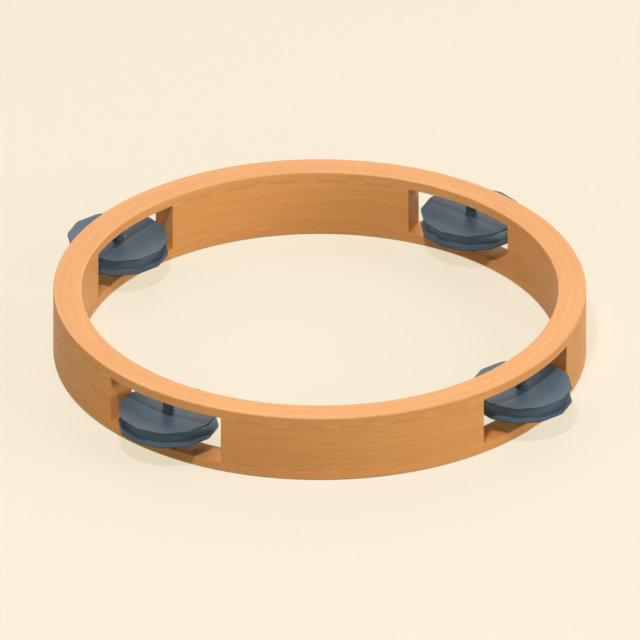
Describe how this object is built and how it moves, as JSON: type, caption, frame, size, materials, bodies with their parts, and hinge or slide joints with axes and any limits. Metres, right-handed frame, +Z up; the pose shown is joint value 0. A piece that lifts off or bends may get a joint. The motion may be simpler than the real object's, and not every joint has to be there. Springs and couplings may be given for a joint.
{
  "type": "headless tambourine",
  "caption": "Headless tambourine: a round wooden hoop with slots through its wall, where dished metal jingles slide and turn on upright pins.",
  "frame": {"origin": "centre of the hoop, on the flat face that it rests on", "axes": "+Z up along the hoop's axis; the jingle slots face +X, +Y, -X and -Y"},
  "size_m": [0.2274, 0.2274, 0.0264],
  "materials": {
    "rail_wood": "satin varnish",
    "block_wood": "satin varnish",
    "dowel_wood": "bare",
    "pin_steel": "oiled",
    "jingle_metal": "blued, satin"
  },
  "bodies": {
    "frame": {"top_rail": "rail_wood", "bottom_rail": "rail_wood", "block_1": "block_wood", "block_2": "block_wood", "block_3": "block_wood", "block_4": "block_wood", "block_dowels_1": "dowel_wood", "block_dowels_2": "dowel_wood", "block_dowels_3": "dowel_wood", "block_dowels_4": "dowel_wood"},
    "pin_1": {"pin_1": "pin_steel"},
    "lower_jingle_1": {"lower_jingle_1": "jingle_metal"},
    "upper_jingle_1": {"upper_jingle_1": "jingle_metal"},
    "pin_2": {"pin_2": "pin_steel"},
    "lower_jingle_2": {"lower_jingle_2": "jingle_metal"},
    "upper_jingle_2": {"upper_jingle_2": "jingle_metal"},
    "pin_3": {"pin_3": "pin_steel"},
    "lower_jingle_3": {"lower_jingle_3": "jingle_metal"},
    "upper_jingle_3": {"upper_jingle_3": "jingle_metal"},
    "pin_4": {"pin_4": "pin_steel"},
    "lower_jingle_4": {"lower_jingle_4": "jingle_metal"},
    "upper_jingle_4": {"upper_jingle_4": "jingle_metal"}
  },
  "joints": [
    {"name": "pin_1_spin", "type": "hinge", "parent": "frame", "child": "pin_1", "pos_m": [0.0947, 0, 0.0132], "axis": [0, 0, 1], "continuous": true},
    {"name": "lower_jingle_1_slide", "type": "slide", "parent": "pin_1", "child": "lower_jingle_1", "axis": [0, 0, 1], "range_m": [-0.0065, 0.0025]},
    {"name": "upper_jingle_1_slide", "type": "slide", "parent": "lower_jingle_1", "child": "upper_jingle_1", "axis": [0, 0, 1], "range_m": [-0.0029, 0.0025]},
    {"name": "pin_2_spin", "type": "hinge", "parent": "frame", "child": "pin_2", "pos_m": [0, 0.0947, 0.0132], "axis": [0, 0, 1], "continuous": true},
    {"name": "lower_jingle_2_slide", "type": "slide", "parent": "pin_2", "child": "lower_jingle_2", "axis": [0, 0, 1], "range_m": [-0.0065, 0.0025]},
    {"name": "upper_jingle_2_slide", "type": "slide", "parent": "lower_jingle_2", "child": "upper_jingle_2", "axis": [0, 0, 1], "range_m": [-0.0029, 0.0025]},
    {"name": "pin_3_spin", "type": "hinge", "parent": "frame", "child": "pin_3", "pos_m": [-0.0947, 0, 0.0132], "axis": [0, 0, 1], "continuous": true},
    {"name": "lower_jingle_3_slide", "type": "slide", "parent": "pin_3", "child": "lower_jingle_3", "axis": [0, 0, 1], "range_m": [-0.0065, 0.0025]},
    {"name": "upper_jingle_3_slide", "type": "slide", "parent": "lower_jingle_3", "child": "upper_jingle_3", "axis": [0, 0, 1], "range_m": [-0.0029, 0.0025]},
    {"name": "pin_4_spin", "type": "hinge", "parent": "frame", "child": "pin_4", "pos_m": [0, -0.0947, 0.0132], "axis": [0, 0, 1], "continuous": true},
    {"name": "lower_jingle_4_slide", "type": "slide", "parent": "pin_4", "child": "lower_jingle_4", "axis": [0, 0, 1], "range_m": [-0.0065, 0.0025]},
    {"name": "upper_jingle_4_slide", "type": "slide", "parent": "lower_jingle_4", "child": "upper_jingle_4", "axis": [0, 0, 1], "range_m": [-0.0029, 0.0025]}
  ]
}
